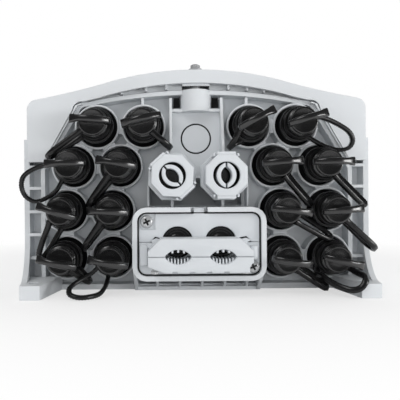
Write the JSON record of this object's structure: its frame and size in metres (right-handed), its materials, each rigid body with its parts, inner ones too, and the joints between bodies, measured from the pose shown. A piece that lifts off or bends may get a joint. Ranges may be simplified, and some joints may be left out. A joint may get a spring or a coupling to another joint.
{
  "type": "fibre termination box",
  "caption": "Wall-mounted fibre termination box with a hinged arched cover, capped drop ports on its end panel, split cable glands and a clamped feeder entry.",
  "frame": {"origin": "middle of the four wall-screw holes, on the back plane", "axes": "+Z out of the wall, +Y along the box towards its hinged end, +X to the right seen from the port end"},
  "size_m": [0.227, 0.358, 0.149],
  "materials": {
    "shell_plastic": "light grey moulded plastic, fine satin grain",
    "fitting_plastic": "off-white moulded nylon, satin",
    "black_rubber": "matt black moulded rubber",
    "black_plastic": "black moulded plastic",
    "clip_plastic": "mid-grey moulded plastic",
    "bright_steel": "bright zinc-plated steel",
    "brass_insert": "turned brass",
    "tray_plastic": "pale grey tray plastic, satin"
  },
  "bodies": {
    "base": {"base_housing": "shell_plastic", "cover_gasket": "black_rubber", "hinge_pins": "bright_steel", "lock_insert": "brass_insert", "drop_adapters": "black_plastic", "adapter_clips": "clip_plastic", "cap_straps": "black_rubber", "gland_seal_left": "black_rubber", "gland_seal_right": "black_rubber", "entry_upper_plate": "fitting_plastic", "entry_lower_plate": "fitting_plastic", "entry_gasket": "black_rubber", "entry_seal": "black_rubber", "entry_screws": "bright_steel", "clamp_upper_bar": "fitting_plastic", "clamp_lower_bar": "fitting_plastic", "clamp_bolts": "bright_steel", "tray_bracket": "bright_steel", "bracket_screws": "bright_steel", "splice_tray_lower": "tray_plastic", "splice_tray_upper": "tray_plastic", "tray_lid": "tray_plastic", "splitter_module": "black_plastic", "strength_clamps": "clip_plastic"},
    "cover": {"front_cover": "shell_plastic"},
    "lock": {"lock_bolt": "bright_steel", "lock_clip": "bright_steel"},
    "nut_left": {"gland_nut_left_upper": "fitting_plastic", "gland_nut_left_lower": "fitting_plastic", "gland_clamp_left": "fitting_plastic"},
    "nut_right": {"gland_nut_right_upper": "fitting_plastic", "gland_nut_right_lower": "fitting_plastic", "gland_clamp_right": "fitting_plastic"},
    "cap_01": {"dust_cap_01": "black_rubber"},
    "cap_02": {"dust_cap_02": "black_rubber"},
    "cap_03": {"dust_cap_03": "black_rubber"},
    "cap_04": {"dust_cap_04": "black_rubber"},
    "cap_05": {"dust_cap_05": "black_rubber"},
    "cap_06": {"dust_cap_06": "black_rubber"},
    "cap_07": {"dust_cap_07": "black_rubber"},
    "cap_08": {"dust_cap_08": "black_rubber"},
    "cap_09": {"dust_cap_09": "black_rubber"},
    "cap_10": {"dust_cap_10": "black_rubber"},
    "cap_11": {"dust_cap_11": "black_rubber"},
    "cap_12": {"dust_cap_12": "black_rubber"},
    "cap_13": {"dust_cap_13": "black_rubber"},
    "cap_14": {"dust_cap_14": "black_rubber"},
    "cap_15": {"dust_cap_15": "black_rubber"},
    "cap_16": {"dust_cap_16": "black_rubber"}
  },
  "joints": [
    {"name": "cover_hinge", "type": "hinge", "parent": "base", "child": "cover", "pos_m": [0, 0.158, 0.101], "axis": [-1, 0, 0], "range_deg": [0, 110]},
    {"name": "lock_turn", "type": "hinge", "parent": "cover", "child": "lock", "pos_m": [0, -0.135, 0.14], "axis": [0, 0, 1], "continuous": true},
    {"name": "nut_left_turn", "type": "hinge", "parent": "base", "child": "nut_left", "pos_m": [-0.0162, -0.165, 0.0733], "axis": [0, 1, 0], "continuous": true},
    {"name": "nut_right_turn", "type": "hinge", "parent": "base", "child": "nut_right", "pos_m": [0.0162, -0.165, 0.0733], "axis": [0, 1, 0], "continuous": true},
    {"name": "cap_01_pull", "type": "slide", "parent": "base", "child": "cap_01", "axis": [0, -1, 0], "range_m": [0, 0.012]},
    {"name": "cap_02_pull", "type": "slide", "parent": "base", "child": "cap_02", "axis": [0, -1, 0], "range_m": [0, 0.012]},
    {"name": "cap_03_pull", "type": "slide", "parent": "base", "child": "cap_03", "axis": [0, -1, 0], "range_m": [0, 0.012]},
    {"name": "cap_04_pull", "type": "slide", "parent": "base", "child": "cap_04", "axis": [0, -1, 0], "range_m": [0, 0.012]},
    {"name": "cap_05_pull", "type": "slide", "parent": "base", "child": "cap_05", "axis": [0, -1, 0], "range_m": [0, 0.012]},
    {"name": "cap_06_pull", "type": "slide", "parent": "base", "child": "cap_06", "axis": [0, -1, 0], "range_m": [0, 0.012]},
    {"name": "cap_07_pull", "type": "slide", "parent": "base", "child": "cap_07", "axis": [0, -1, 0], "range_m": [0, 0.012]},
    {"name": "cap_08_pull", "type": "slide", "parent": "base", "child": "cap_08", "axis": [0, -1, 0], "range_m": [0, 0.012]},
    {"name": "cap_09_pull", "type": "slide", "parent": "base", "child": "cap_09", "axis": [0, -1, 0], "range_m": [0, 0.012]},
    {"name": "cap_10_pull", "type": "slide", "parent": "base", "child": "cap_10", "axis": [0, -1, 0], "range_m": [0, 0.012]},
    {"name": "cap_11_pull", "type": "slide", "parent": "base", "child": "cap_11", "axis": [0, -1, 0], "range_m": [0, 0.012]},
    {"name": "cap_12_pull", "type": "slide", "parent": "base", "child": "cap_12", "axis": [0, -1, 0], "range_m": [0, 0.012]},
    {"name": "cap_13_pull", "type": "slide", "parent": "base", "child": "cap_13", "axis": [0, -1, 0], "range_m": [0, 0.012]},
    {"name": "cap_14_pull", "type": "slide", "parent": "base", "child": "cap_14", "axis": [0, -1, 0], "range_m": [0, 0.012]},
    {"name": "cap_15_pull", "type": "slide", "parent": "base", "child": "cap_15", "axis": [0, -1, 0], "range_m": [0, 0.012]},
    {"name": "cap_16_pull", "type": "slide", "parent": "base", "child": "cap_16", "axis": [0, -1, 0], "range_m": [0, 0.012]}
  ]
}
